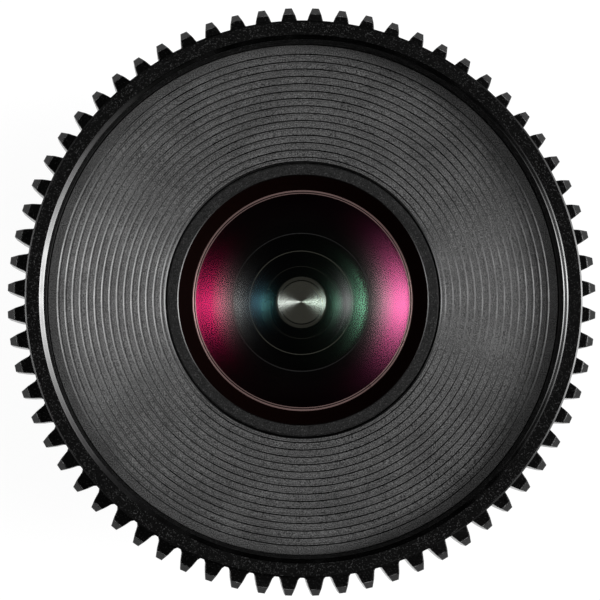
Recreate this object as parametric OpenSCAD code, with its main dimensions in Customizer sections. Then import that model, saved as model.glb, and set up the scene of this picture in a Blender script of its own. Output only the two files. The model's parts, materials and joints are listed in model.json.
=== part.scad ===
// Compact wide-angle cinema prime lens with toothed focus and iris rings.
// The optical axis is +Z and the front glass faces up. The origin is the centre of the
// flange face that meets the camera, so the bayonet lies below z = 0. Sizes are in millimetres.

/* [Gears] */
// Module of the gear teeth
gear_module = 0.8; // [0.6:0.05:1]
// Number of teeth on the focus gear
focus_teeth = 68; // [64:1:80]
// Width of the focus gear along the axis
focus_gear_w = 8; // [5:0.5:10]
// Width of the iris gear along the axis
iris_gear_w = 6.5; // [4:0.5:8]
// Chamfer at both ends of the teeth
tooth_chamfer = 0.6; // [0.2:0.1:0.8]
// Wall of the focus ring between its bore and the tooth roots
focus_wall = 1.9; // [1.6:0.1:2.6]
// Width of the plain lip behind the iris gear
iris_lip_w = 1.2; // [0.6:0.1:2]
// Least wall of the iris ring between its bore and the tooth roots
iris_wall = 1.5; // [1.2:0.1:2.4]
// Depth of the focus scale band below the tooth roots
focus_band_drop = 0.6; // [0.3:0.1:0.9]
// Depth of the iris scale band below the tooth roots
iris_band_drop = 0.3; // [0.2:0.05:0.5]

/* [Barrel] */
// Length of the rear barrel
rear_len = 8.6; // [7.5:0.1:12]
// Length of the iris ring
iris_ring_len = 15; // [13:0.5:20]
// Width of the index ring between the iris ring and the focus ring
index_w = 4; // [3:0.5:6]
// Length of the focus ring
focus_ring_len = 17; // [16:0.5:22]
// Wall of the cam sleeve inside the focus ring
cam_wall = 1.2; // [1:0.1:1.6]
// Wall of the main barrel
barrel_wall = 1.5; // [1.2:0.1:2]
// Wall of the sliding carrier
carrier_wall = 1.3; // [1.1:0.1:2]
// Wall of the rear barrel outside the main barrel
rear_wall = 1.85; // [1.5:0.05:2.4]

/* [Front] */
// Nominal diameter of the filter thread
filter_d = 49; // [46:0.5:52]
// Pitch of the filter thread
filter_pitch = 0.75; // [0.5:0.05:1]
// Depth of the thread below the front edge
thread_depth = 2.6; // [2.2:0.1:3.5]
// Length of the filter ring
rim_len = 6.7; // [6.4:0.1:9]
// Wall of the filter ring outside the thread
rim_wall = 1.45; // [1:0.05:2.2]
// Radial width of the bevel at the mouth of the thread
rim_bevel = 0.25; // [0.2:0.05:0.6]
// Thickness of the filter ring's web behind the baffle
web_t = 2.1; // [1.6:0.1:2.4]
// Spacing of the grooves in the baffle
groove_pitch = 0.7; // [0.5:0.05:1]
// Width of each groove
groove_w = 0.26; // [0.16:0.02:0.4]
// Depth of each groove
groove_depth = 0.2; // [0.1:0.02:0.35]
// Width of the plain margin outside the grooves
baffle_margin = 0.95; // [0.6:0.05:1.5]
// How much lower the baffle lies at its inner edge
baffle_dish = 0.6; // [0.3:0.05:0.8]

/* [Front glass] */
// Visible diameter of the front element
front_clear_d = 20.2; // [18:0.1:21]
// Radius of curvature of the front element's outer face
front_curve = 24; // [20:0.5:28]
// Radius of curvature of the front element's inner face
front_hollow = 8.2; // [7.9:0.1:10]
// Thickness of the front element at its centre
front_centre_t = 1.6; // [1.2:0.1:2]
// Radial width of the front element's edge under its retaining ring
front_edge_w = 0.5; // [0.4:0.05:0.8]
// Width of the flat face of the front retaining ring
front_ring_w = 1.1; // [0.8:0.05:1.6]
// Width of the dark slope inside the front retaining ring
front_slope_w = 1.45; // [1.2:0.05:2]

/* [Mount] */
// Diameter of the bayonet spigot
spigot_d = 37.8; // [36:0.1:40]
// Length of the spigot behind the flange face
spigot_len = 5; // [4.6:0.1:6]
// Diameter over the bayonet lugs
lug_d = 41.8; // [40.5:0.1:43.5]
// Angle that each lug covers
lug_angle = 52; // [36:1:64]
// Thickness of the lugs along the axis
lug_t = 1.5; // [1.2:0.1:1.8]
// Distance from the flange face to the lugs
lug_gap = 1.9; // [1.6:0.1:2.2]
// Thickness of the mount plate
mount_t = 2.2; // [2:0.1:3]
// Thickness of the shim under the mount plate
shim_t = 0.2; // [0.1:0.05:0.5]
// Radius of the circle of mount screws
screw_circle_r = 22.75; // [22.6:0.05:23.1]
// Radius of the hole for the camera's lock pin
lock_hole_r = 1.2; // [0.8:0.1:1.4]
// Depth of that hole
lock_hole_depth = 1.5; // [1:0.1:1.8]

/* [Rear barrel] */
// Thickness of the rear barrel's floor
rear_floor_t = 3.8; // [3.5:0.1:4.5]
// Radius of the opening in that floor
rear_floor_bore_r = 18.5; // [17.5:0.1:19.5]
// Radius of the alignment dot
dot_r = 0.9; // [0.6:0.05:1.2]
// Depth at which the dot is set into the rear barrel
dot_depth = 0.6; // [0.4:0.05:1]
// How far the dot stands out
dot_proud = 0.2; // [0.1:0.05:0.4]
// Thickness of the rear light mask
mask_t = 1; // [0.6:0.1:1.4]
// Width of the window in the light mask
mask_w = 20; // [16:0.5:26]
// Height of that window
mask_h = 16; // [12:0.5:20]
// Corner radius of that window
mask_corner_r = 3; // [1:0.5:5]

/* [Screws] */
// Radius of the small screws
screw_r = 0.8; // [0.6:0.05:0.9]
// Radius of a countersunk screw's head
screw_head_r = 1.35; // [1.2:0.05:1.4]
// Height of that head
screw_head_h = 0.8; // [0.6:0.05:1]
// Radius of the focus ring's set screws
focus_screw_r = 0.7; // [0.55:0.05:0.8]
// Reach of the mount screws into the rear barrel
mount_screw_reach = 3; // [2:0.1:3.4]
// Reach of the filter ring's screws into the carrier
rim_screw_len = 3; // [2:0.1:3.3]
// Reach of the optical barrel's screws into the carrier's web
optical_screw_len = 1.8; // [1.2:0.1:2]

/* [Focus drive] */
// Radius of the cam rollers
roller_r = 1.1; // [0.9:0.05:1.3]
// Radius of the screws that carry the rollers
roller_screw_r = 0.6; // [0.5:0.05:0.65]
// Height of the heads of those screws
roller_head_h = 0.35; // [0.35:0.05:0.5]
// Distance of the end rollers from the ends of the cam sleeve
roller_end_margin = 2.4; // [2:0.1:3]
// Height of the ring that keeps the cam sleeve on the main barrel
retaining_ring_h = 1.5; // [1.2:0.1:2]
// Width of the thick rim at the front of the carrier
carrier_rim_w = 2.9; // [2.9:0.05:3.3]
// Height of that rim
carrier_rim_h = 3.7; // [3.5:0.1:4.5]
// Thickness of the carrier's web under the optical barrel
carrier_web_t = 2.2; // [2.1:0.1:3]
// Length of the carrier behind the iris drive pin
carrier_tail = 8.5; // [6:0.5:10]

/* [Front group] */
// Radius of the hollow in the back of the front element
front_hollow_r = 7.6; // [7.2:0.1:7.8]
// Air between the front element and the second element on the axis
second_air = 4.2; // [4:0.1:4.4]
// Radius of the second element
second_r = 6.65; // [6.5:0.05:6.9]
// Radius of curvature of the second element's front face
second_curve = 16; // [14:0.5:20]
// Radius of curvature of the second element's back face
second_hollow = 5.6; // [5.4:0.1:6]
// Radius of that hollow
second_hollow_r = 5; // [4.8:0.1:5.1]
// Thickness of the second element at its centre
second_centre_t = 1.2; // [1:0.1:1.4]
// Radius of the third element
third_r = 5.9; // [5.7:0.1:6.1]
// Radius of curvature of the third element's front face
third_curve = 30; // [26:1:36]
// Radius of curvature of the third element's back face
third_hollow = 7; // [6.6:0.1:7.6]
// Radius of that hollow
third_hollow_r = 4.4; // [4.1:0.1:4.6]
// Thickness of the third element at its centre
third_centre_t = 1; // [0.8:0.1:1.2]
// Thickness of the front cell's lip between those two elements
cell_lip_t = 0.8; // [0.6:0.1:1]
// Wall of the front cell around the second element
cell_wall = 1.6; // [1.3:0.1:1.8]
// Thickness of the front cell's lock ring
lock_ring_t = 0.7; // [0.5:0.05:0.8]

/* [Middle group] */
// Outer radius of the optical barrel
optical_r = 12; // [11.6:0.1:12.4]
// Radius of the optical barrel's flange
optical_flange_r = 17; // [16:0.1:18]
// Thickness of that flange
optical_flange_t = 2; // [1.6:0.1:2.4]
// Radius of the fourth element
fourth_r = 5.3; // [5.2:0.1:5.5]
// Radius of curvature of both faces of the fourth element
fourth_curve = 14; // [13:0.5:18]
// Thickness of the fourth element at its centre
fourth_centre_t = 3; // [2.8:0.1:3.2]
// Air between the fourth and the fifth element on the axis
fourth_air = 0.8; // [0.6:0.1:1]
// Radius of the cemented pair
pair_r = 5.3; // [5.1:0.1:5.3]
// Radius of curvature of the cemented faces
pair_curve = 8; // [7.8:0.1:9]
// Radius of curvature of the fifth element's front face
fifth_curve = 9; // [8.8:0.1:10]
// Thickness of the fifth element at its centre
fifth_centre_t = 4.2; // [4.1:0.1:4.5]
// Radius of curvature of the sixth element's back face
sixth_hollow = 14; // [12:0.5:18]
// Radius of that hollow
sixth_hollow_r = 4.2; // [3.9:0.1:4.4]
// Thickness of the sixth element at its centre
sixth_centre_t = 0.9; // [0.8:0.1:1.1]

/* [Rear group] */
// Radius of the seventh and the eighth element
seventh_r = 5.5; // [5.4:0.1:5.6]
// Radius of curvature of the seventh element's front face
seventh_front = 10; // [9.5:0.1:12]
// Radius of curvature of the cemented faces of those two elements
seventh_back_curve = 9; // [8.8:0.1:10]
// Thickness of the seventh element at its centre
seventh_centre_t = 0.9; // [0.8:0.1:1.1]
// Radius of curvature of the eighth element's back face
eighth_back_curve = 10; // [9.6:0.1:11]
// Thickness of the eighth element at its centre
eighth_centre_t = 4.2; // [4.1:0.1:4.5]
// Radius of the ninth element
ninth_r = 6.4; // [6.2:0.1:6.6]
// Radius of curvature of the ninth element's front face
ninth_front = 18; // [16:0.5:20]
// Radius of curvature of the ninth element's back face
ninth_back_curve = 14; // [13:0.5:16]
// Thickness of the ninth element at its centre
ninth_centre_t = 3.2; // [3.1:0.1:3.5]
// Air in front of the ninth element on the axis
ninth_air = 0.33; // [0.3:0.01:0.5]
// Radius of the rear element
tail_r = 7.4; // [7.2:0.1:7.6]
// Radius of curvature of the rear element's front face
tail_front = 16; // [14.5:0.5:18]
// Radius of curvature of the rear element's back face
tail_back_curve = 40; // [34:1:50]
// Thickness of the rear element at its centre
tail_centre_t = 3; // [2.9:0.1:3.4]
// Air in front of the rear element on the axis
tail_air = 0.3; // [0.25:0.01:0.5]
// Thickness of the ring that holds the rear element
tail_ring_t = 1.1; // [0.9:0.1:1.4]

/* [Iris] */
// Width of an iris blade
blade_w = 2.2; // [2.1:0.05:2.4]
// Radius of the circle of blade pivots
pivot_circle_r = 9; // [8.9:0.05:9.1]
// Radius of the circle of blade drive pins
follower_r = 8.6; // [8.5:0.05:8.7]
// Radius of the blades' pins
blade_pin_r = 0.35; // [0.3:0.01:0.4]
// Outer radius of the cam ring
cam_ring_r = 9.8; // [9.7:0.05:9.9]
// Thickness of the cam ring
cam_ring_t = 1; // [0.8:0.05:1.1]
// Thickness of the base plate that carries the pivots
base_t = 1.2; // [1.1:0.05:1.5]
// Radius of the iris drive pin
iris_pin_r = 0.8; // [0.7:0.05:0.9]
// Distance of the iris drive pin from the index ring
iris_pin_inset = 4; // [3.8:0.1:4.4]

/* [Motion] */
// Turn of the focus ring from far to near
focus_throw = 140; // [90:5:150]
// Travel of the optical block over that turn
focus_travel = 0.8; // [0.4:0.1:1.2]
// Turn of the iris ring from open to closed
iris_throw = 60; // [45:5:70]
// Radius of the iris opening when it is fully open
iris_open_r = 2.4; // [2.2:0.1:2.8]
// Radius of the iris opening when it is stopped down
iris_closed_r = 0.5; // [0.4:0.1:1.5]
// Thickness of an iris blade
blade_t = 0.08; // [0.05:0.01:0.12]

/* [Fits] */
// Radial clearance of parts that turn or slide in each other
run_gap = 0.05; // [0.03:0.01:0.08]
// Clearance of parts that are seated in each other
seat_gap = 0.03; // [0.02:0.01:0.05]
// Gap between the filter ring and the focus ring at the far stop
front_gap = 0.3; // [0.2:0.05:0.6]

/* [Hidden] */

// Facets of round parts and of glass, and how far a cutting body reaches past what it cuts
$fn = 96;
glass_fn = 240;
cut = 0.5;

black = [0.09, 0.09, 0.095];
charcoal = [0.27, 0.27, 0.28];
steel = [0.78, 0.78, 0.77];
brass_tone = [0.72, 0.58, 0.3];
glass_tone = [0.36, 0.12, 0.24, 0.7];
red = [0.75, 0.06, 0.05];

// Tooth form
pressure_angle = 20;
addendum = 1;
dedendum = 1.25;
root_fillet = 0.28;
root_flat_share = 0.45;

function root_r(teeth) = gear_module * (teeth / 2 - dedendum);
function tip_r(teeth) = gear_module * (teeth / 2 + addendum);

// Radii of the nested tubes, from the tooth roots of the focus gear inwards
focus_root_r = root_r(focus_teeth);
focus_tip_r = tip_r(focus_teeth);
focus_bore_r = focus_root_r - focus_wall;
focus_band_r = focus_root_r - focus_band_drop;
cam_r = focus_bore_r - seat_gap;
cam_bore_r = cam_r - cam_wall;
barrel_r = cam_bore_r - run_gap;
barrel_bore_r = barrel_r - barrel_wall;
carrier_r = barrel_bore_r - run_gap;
carrier_bore_r = carrier_r - carrier_wall;
iris_bore_r = barrel_r + run_gap;
iris_teeth = ceil(2 * (iris_bore_r + iris_wall) / gear_module + 2 * dedendum);
iris_root_r = root_r(iris_teeth);
iris_tip_r = tip_r(iris_teeth);
iris_band_r = iris_root_r - iris_band_drop;
rear_bore_r = barrel_r + seat_gap;
rear_r = rear_bore_r + rear_wall;

// Heights above the flange face
end_play = 0.05;
z_shim = mount_t;
z_rear = z_shim + shim_t;
z_iris = z_rear + rear_len;
z_index = z_iris + iris_ring_len;
z_focus = z_index + index_w;
z_focus_top = z_focus + focus_ring_len;
z_rim = z_focus_top + front_gap;
z_front = z_rim + rim_len;
z_thread_floor = z_front - thread_depth;
small_chamfer = 0.3;

// Small screws
head_sink = 0.1;
slot_w = 0.3;
slot_depth = 0.35;
socket_r = 0.42;
socket_depth = 0.6;

// Rear barrel and its joint with the main barrel
main_low = z_rear + rear_floor_t + end_play;
rear_screw_z = (main_low + z_iris) / 2;
rear_screw_angles = [60, 180, 300];
dot_angle = 90;

// Bayonet
spigot_r = spigot_d / 2;
spigot_wall = 1.4;
mask_ledge = 0.6;
spigot_bore_r = spigot_r - spigot_wall;
throat_r = spigot_bore_r - mask_ledge;
lug_r = lug_d / 2;
lug_count = 3;
nose_step = 0.4;
nose_r = spigot_r - nose_step;
nose_to_lug = 0.2;
nose_top = -lug_gap - lug_t - nose_to_lug;
lug_to_land = 0.2;
flange_land_r = lug_r + lug_to_land;
flange_relief = 0.3;
mount_edge = 1.65;
mount_r = screw_circle_r + mount_edge;
mount_screw_angles = [45, 135, 225, 315];
mount_screw_top = z_rear + mount_screw_reach;
lock_angle = 0;
mask_inset = 0.4;
mask_low = -spigot_len + mask_inset;
mask_seat = mask_low + mask_t + end_play;

// Focus drive
barrel_end_recess = 0.5;
main_top = z_focus_top - barrel_end_recess;
sleeve_low = z_focus + end_play;
sleeve_top = main_top - retaining_ring_h - end_play;
roller_count = 3;
roller_bore_r = roller_screw_r + run_gap;
roller_head_step = 0.1;
roller_head_r = roller_r - roller_head_step;
roller_low_z = sleeve_low + roller_end_margin;
roller_rise = (sleeve_top - roller_end_margin - focus_travel - roller_low_z) / (roller_count - 1);
roller_head_gap = 0.12;
roller_head_out = cam_r - roller_head_gap;
roller_out = roller_head_out - roller_head_h;
roller_foot_gap = 0.08;
roller_in = carrier_r + roller_foot_gap;
cam_steps = 30;
cam_stop_gap = 0.3;
focus_screw_z = roller_low_z + (roller_rise + focus_travel) / 2;
focus_screw_angles = [30, 150, 270];
focus_screw_floor = 0.4;
focus_screw_in = cam_bore_r + focus_screw_floor;
screw_inset = 0.2;
retaining_ring_gap = 0.15;
spanner_w = 1.6;
spanner_depth = 0.6;

function roller_angle(k) = k * 360 / roller_count;
function roller_z(k) = roller_low_z + k * roller_rise;

// Carrier
carrier_rim_bore_r = carrier_r - carrier_rim_w;
carrier_top = z_rim - end_play;
rim_screw_angles = [60, 180, 300];
rim_screw_r = (carrier_r + carrier_rim_bore_r) / 2;
rim_screw_top = z_rim + web_t - head_sink;

// Filter ring and baffle
thread_r = filter_d / 2;
thread_height_share = 0.54;
thread_minor_r = thread_r - thread_height_share * filter_pitch;
mouth_r = thread_r + rim_bevel;
rim_r = thread_r + rim_wall;
rim_edge = 0.22;
thread_lead = filter_pitch / 3;
relief_depth = 0.3;
relief_r = thread_minor_r + relief_depth;
baffle_r = thread_minor_r - run_gap;
baffle_bed = z_rim + web_t + seat_gap;
baffle_drop = 0.1;
baffle_top = z_thread_floor - baffle_drop;

// Front group: front element, second and third element in one cell
front_clear_r = front_clear_d / 2;
front_r = front_clear_r + front_edge_w;
front_drop = 0.2;
front_top = z_thread_floor - front_drop;
front_back = front_top - front_centre_t;

function sag(curve, r) = curve - sqrt(curve * curve - r * r);

cell_lip_margin = 0.3;
cell_lip_r = second_hollow_r + cell_lip_margin;
front_low = front_back - sag(front_hollow, front_hollow_r);
second_top = front_back - second_air;
second_back = second_top - second_centre_t;
second_low = second_back - sag(second_hollow, second_hollow_r);
third_top = second_low - cell_lip_t - seat_gap + sag(third_curve, cell_lip_r);
third_back = third_top - third_centre_t;
third_low = third_back - sag(third_hollow, third_hollow_r);

front_bevel_w = 0.25;
ring_in_r = front_clear_r + front_bevel_w;
ring_slope_top_r = ring_in_r + front_slope_w;
ring_r = ring_slope_top_r + front_ring_w;
ring_low = front_top - sag(front_curve, ring_in_r) + seat_gap;
ring_drop = 0.15;
ring_top = baffle_top - baffle_dish - ring_drop;
ring_flange_t = 1.15;
ring_lip_t = 0.25;
ring_skirt_w = 1;
ring_skirt_r = front_r + ring_skirt_w;
ring_gap = 0.1;
baffle_bore_r = ring_r + ring_gap;
cell_r = ring_r;
cell_top = ring_top - ring_flange_t - seat_gap;
cell_shoulder_h = 1.4;
cell_foot = second_low + cell_shoulder_h;
spigot_cell_r = second_r + cell_wall;
lock_ring_w = 0.9;
cell_tail = 0.2;
cell_low = third_low - seat_gap - lock_ring_t - cell_tail;

// Iris, seen from the front: the cam ring, seven blades and the base plate
blade_count = 7;
blade_gap = 0.07;
blade_pitch = blade_t + blade_gap;
blade_out_r = iris_open_r + blade_w;
blade_from = 20;
blade_to = 100;
blade_end_r = 0.95;
blade_arm_w = 1.1;
blade_lobe_r = 0.75;
blade_arm_lead = 6;
drive_arm_lead = 4;
drive_angle = 66;
blade_turn = 2 * asin((iris_open_r - iris_closed_r) / (2 * pivot_circle_r));
iris_pin_angle = 200;
iris_pin_z = z_index - iris_pin_inset;
iris_pin_out = iris_band_r - screw_inset;
carrier_low = iris_pin_z - carrier_tail;
chamber_gap = 0.2;
chamber_r = cam_ring_r + chamber_gap;
cam_ring_rise = 2.4;
cam_ring_top = iris_pin_z + cam_ring_rise;
blade_stack_top = cam_ring_top - cam_ring_t - end_play;
blade_stack_low = blade_stack_top - blade_count * blade_pitch;
base_top = blade_stack_low - end_play;
base_low = base_top - base_t;
iris_margin = 0.2;
base_bore_r = iris_open_r + iris_margin;
pivot_depth = 0.9;
pin_end_gap = 0.1;
slot_steps = 12;
slot_round_steps = 8;
fork_gap = 0.8;
fork_len = 2.4;
fork_out = carrier_bore_r - fork_gap;
fork_in = fork_out - fork_len;
fork_web = 0.2;
fork_w = 4.4;
fork_foot = 0.4;
fork_low = iris_pin_z - focus_travel - iris_pin_r - fork_foot;
arm_w = 3;
arm_root = 1;
arc_gap = 0.3;

// Middle group in the optical barrel: fourth element, and a cemented pair
barrel_lip_t = 1.15;
barrel_lip_margin = 1.15;
barrel_lip_r = iris_open_r + barrel_lip_margin;
cement_gap = 0.02;
middle_bore_gap = 0.1;
middle_bore_r = fourth_r + middle_bore_gap;
middle_ring_in_r = 4.6;
lip_low = cam_ring_top + end_play;
lip_top = lip_low + barrel_lip_t;
sixth_low = lip_top + seat_gap;
sixth_back = sixth_low + sag(sixth_hollow, sixth_hollow_r);
sixth_top = sixth_back + sixth_centre_t;
fifth_back = sixth_top + cement_gap;
fifth_top = fifth_back + fifth_centre_t;
fourth_back = fifth_top + fourth_air;
fourth_top = fourth_back + fourth_centre_t;
spacer_low = fifth_top - sag(fifth_curve, middle_ring_in_r) + seat_gap;
spacer_top = fourth_back + sag(fourth_curve, middle_ring_in_r) - seat_gap;
middle_lock_low = fourth_top - sag(fourth_curve, middle_ring_in_r) + seat_gap;
middle_lock_t = 1.2;

// Optical barrel
optical_top = cell_foot - seat_gap;
optical_bore_r = spigot_cell_r + seat_gap;
optical_step = 0.4;
optical_floor = middle_lock_low + middle_lock_t + optical_step;
optical_flange_drop = 0.6;
optical_flange_low = optical_floor - optical_flange_drop;
carrier_web_top = optical_flange_low - seat_gap;
optical_screw_r = (optical_r + optical_flange_r) / 2;
optical_screw_head_h = 1;
optical_screw_angles = [60, 180, 300];

// Rear group: a cemented pair and two single elements in one cell
cell_bearing_r = chamber_r - run_gap;
rear_cell_top = base_low - seat_gap;
rear_lip_t = 0.7;
rear_lip_r = 4.6;
spacer_1_in_r = 4.7;
spacer_2_in_r = 5.4;
tail_ring_in_r = 6.6;
seventh_high = rear_cell_top - rear_lip_t - seat_gap;
seventh_top = seventh_high - sag(seventh_front, seventh_r);
seventh_back = seventh_top - seventh_centre_t;
seventh_low = seventh_back - sag(seventh_back_curve, seventh_r);
eighth_top = seventh_back - cement_gap;
eighth_back = eighth_top - eighth_centre_t;
ninth_top = eighth_back - ninth_air;
ninth_back = ninth_top - ninth_centre_t;
tail_top = ninth_back - tail_air;
tail_back = tail_top - tail_centre_t;
spacer_1_top = eighth_back + sag(eighth_back_curve, spacer_1_in_r) - seat_gap;
spacer_1_low = ninth_top - sag(ninth_front, spacer_1_in_r) + seat_gap;
spacer_2_top = ninth_back + sag(ninth_back_curve, spacer_2_in_r) - seat_gap;
spacer_2_low = tail_top - sag(tail_front, spacer_2_in_r) + seat_gap;
tail_ring_top = tail_back + sag(tail_back_curve, tail_ring_in_r) - seat_gap;
ninth_shelf = ninth_top - sag(ninth_front, seventh_r + seat_gap) + seat_gap;
tail_shelf = tail_top - sag(tail_front, ninth_r + seat_gap) + seat_gap;
rear_cell_low = tail_ring_top - tail_ring_t - cell_tail;
rear_cell_flange_t = 3.15;
rear_cell_shoulder = rear_cell_low + rear_cell_flange_t;
optical_low = rear_cell_shoulder + seat_gap;

// Plain shapes

function polar(r, angle) = [r * cos(angle), r * sin(angle)];

function turned_about(point, centre, angle) =
    let (d = point - centre)
    centre + [d[0] * cos(angle) - d[1] * sin(angle), d[0] * sin(angle) + d[1] * cos(angle)];

module rod(r, low, high) {
    translate([0, 0, low]) cylinder(r = r, h = high - low);
}

module tube(outer_r, inner_r, low, high) {
    difference() {
        rod(outer_r, low, high);
        rod(inner_r, low - cut, high + cut);
    }
}

module turned(profile) {
    rotate_extrude() polygon(profile);
}

// A rod that points away from the axis, from radius start to radius end
module spoke(r, start, end, angle, z) {
    rotate([0, 0, angle]) translate([start, 0, z]) rotate([0, 90, 0]) cylinder(r = r, h = end - start);
}

// A ring segment that starts at angle start and covers the given sweep
module arc_block(outer_r, inner_r, low, high, start, sweep) {
    rotate([0, 0, start]) rotate_extrude(angle = sweep)
        polygon([[inner_r, low], [outer_r, low], [outer_r, high], [inner_r, high]]);
}

module at_angles(angles, r) {
    for (angle = angles) rotate([0, 0, angle]) translate([r, 0, 0]) children();
}

function even_angles(count, start) = [for (k = [0:count - 1]) start + k * 360 / count];

// Lens with a domed front and a hollow back
module meniscus(top, front_curve, back, back_curve, r, low) {
    difference() {
        intersection() {
            rod(r, low, top + cut);
            translate([0, 0, top - front_curve]) sphere(r = front_curve, $fn = glass_fn);
        }
        translate([0, 0, back - back_curve]) sphere(r = back_curve, $fn = glass_fn);
    }
}

// Lens domed on both sides
module biconvex(top, front_curve, back, back_curve, r) {
    intersection() {
        rod(r, back - cut, top + cut);
        translate([0, 0, top - front_curve]) sphere(r = front_curve, $fn = glass_fn);
        translate([0, 0, back + back_curve]) sphere(r = back_curve, $fn = glass_fn);
    }
}

// Lens hollow on both sides
module biconcave(top, front_curve, back, back_curve, r, low, high) {
    difference() {
        rod(r, low, high);
        translate([0, 0, top + front_curve]) sphere(r = front_curve, $fn = glass_fn);
        translate([0, 0, back - back_curve]) sphere(r = back_curve, $fn = glass_fn);
    }
}

// Gear teeth

function involute(base_r, r) =
    r <= base_r ? 0 : let (t = sqrt(pow(r / base_r, 2) - 1)) t * 180 / PI - atan(t);

function tooth_half(teeth, r) =
    let (pitch_r = gear_module * teeth / 2, base_r = pitch_r * cos(pressure_angle))
    90 / teeth + involute(base_r, pitch_r) - involute(base_r, r);

function gear_outline(teeth) =
    let (root = root_r(teeth))
    let (flank = [root + root_fillet, gear_module * teeth / 2, tip_r(teeth)])
    let (half_gap = 180 / teeth - tooth_half(teeth, root))
    let (foot = 180 / teeth - root_flat_share * half_gap)
    [for (i = [0:teeth - 1]) let (mid = (i + 0.5) * 360 / teeth) each concat(
        [polar(root, mid - foot)],
        [for (r = flank) polar(r, mid - tooth_half(teeth, r))],
        [for (k = [2:-1:0]) polar(flank[k], mid + tooth_half(teeth, flank[k]))],
        [polar(root, mid + foot)])];

// Toothed ring with chamfered tooth ends and a plain bore
module gear(teeth, bore_r, low, high) {
    tip = tip_r(teeth);
    edge = tip - tooth_chamfer;
    intersection() {
        translate([0, 0, low]) linear_extrude(height = high - low) polygon(gear_outline(teeth));
        turned([
            [bore_r, low], [edge, low], [tip, low + tooth_chamfer],
            [tip, high - tooth_chamfer], [edge, high], [bore_r, high]
        ]);
    }
}

// Screws

// Countersunk screw with a cross recess, head down at z = 0
module flat_screw(length) {
    difference() {
        turned([
            [0, 0], [screw_head_r, 0], [screw_r, screw_head_h], [screw_r, length], [0, length]
        ]);
        for (a = [0, 90]) rotate([0, 0, a])
            translate([-screw_r, -slot_w / 2, -cut]) cube([2 * screw_r, slot_w, cut + slot_depth]);
    }
}

// Hole for that screw, with the head sunk below the face
module flat_screw_hole(length) {
    head = screw_head_r + seat_gap;
    bore = screw_r + seat_gap;
    turned([
        [0, -head_sink - cut], [head, -head_sink - cut], [head, 0], [bore, screw_head_h],
        [bore, length], [0, length]
    ]);
}

// Grub screw with a hexagon socket in its outer end
module grub_screw(r, start, end, angle, z) {
    difference() {
        spoke(r, start, end, angle, z);
        rotate([0, 0, angle]) translate([end - socket_depth, 0, z]) rotate([0, 90, 0])
            cylinder(r = socket_r, h = socket_depth + cut, $fn = 6);
    }
}

// Fixed barrel

module main_barrel() color(black) difference() {
    union() {
        tube(barrel_r, barrel_bore_r, main_low, main_top);
        turned([
            [barrel_bore_r, z_index], [focus_band_r - small_chamfer, z_index],
            [focus_band_r, z_index + small_chamfer], [focus_band_r, z_focus - small_chamfer],
            [focus_band_r - small_chamfer, z_focus], [barrel_bore_r, z_focus]
        ]);
    }
    for (k = [0:roller_count - 1]) rotate([0, 0, roller_angle(k)]) {
        half_w = roller_r + run_gap;
        low = roller_z(k) - half_w - cam_stop_gap;
        high = roller_z(k) + focus_travel + half_w + cam_stop_gap;
        translate([barrel_bore_r - cut, -half_w, low])
            cube([barrel_wall + 2 * cut, 2 * half_w, high - low]);
    }
    pin_arc(barrel_bore_r - cut, barrel_r + cut, 0);
}

// Slot along which the iris drive pin sweeps, lengthened downwards by drop
module pin_arc(inner_r, outer_r, drop) {
    room = iris_pin_r + arc_gap;
    margin = asin(room / inner_r);
    arc_block(outer_r, inner_r, iris_pin_z - room - drop, iris_pin_z + room,
        iris_pin_angle - margin, iris_throw + 2 * margin);
}

module rear_barrel() color(black) difference() {
    turned([
        [rear_floor_bore_r, z_rear], [rear_r - small_chamfer, z_rear],
        [rear_r, z_rear + small_chamfer], [rear_r, z_iris - small_chamfer],
        [rear_r - small_chamfer, z_iris], [rear_bore_r, z_iris],
        [rear_bore_r, z_rear + rear_floor_t], [rear_floor_bore_r, z_rear + rear_floor_t]
    ]);
    at_angles(mount_screw_angles, screw_circle_r)
        rod(screw_r + seat_gap, z_rear - cut, mount_screw_top + seat_gap);
    for (a = rear_screw_angles)
        spoke(screw_r + seat_gap, rear_bore_r - cut, rear_r + cut, a, rear_screw_z);
    spoke(dot_r + seat_gap, rear_r - dot_depth, rear_r + cut, dot_angle, rear_screw_z);
}

module bayonet_mount() color(steel) difference() {
    union() {
        turned([
            [throat_r, mask_seat], [spigot_bore_r, mask_seat],
            [spigot_bore_r, -spigot_len], [nose_r - small_chamfer, -spigot_len],
            [nose_r, -spigot_len + small_chamfer], [nose_r, nose_top], [spigot_r, nose_top],
            [spigot_r, flange_relief],
            [flange_land_r, flange_relief], [flange_land_r, 0], [mount_r - small_chamfer, 0],
            [mount_r, small_chamfer], [mount_r, mount_t], [throat_r, mount_t]
        ]);
        for (a = even_angles(lug_count, lug_angle / -2))
            arc_block(lug_r, spigot_r - cut, -lug_gap - lug_t, -lug_gap, a, lug_angle);
    }
    at_angles(mount_screw_angles, screw_circle_r) translate([0, 0, head_sink])
        flat_screw_hole(mount_t + cut);
    at_angles([lock_angle], screw_circle_r) rod(lock_hole_r, -cut, lock_hole_depth);
}

module mount_shim() color(brass_tone) difference() {
    tube(mount_r - small_chamfer, rear_floor_bore_r, z_shim, z_rear);
    at_angles(mount_screw_angles, screw_circle_r) rod(screw_r + seat_gap, z_shim - cut, z_rear + cut);
}

module mount_screws() color(steel) {
    at_angles(mount_screw_angles, screw_circle_r) translate([0, 0, head_sink])
        flat_screw(mount_screw_top - head_sink);
}

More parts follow.
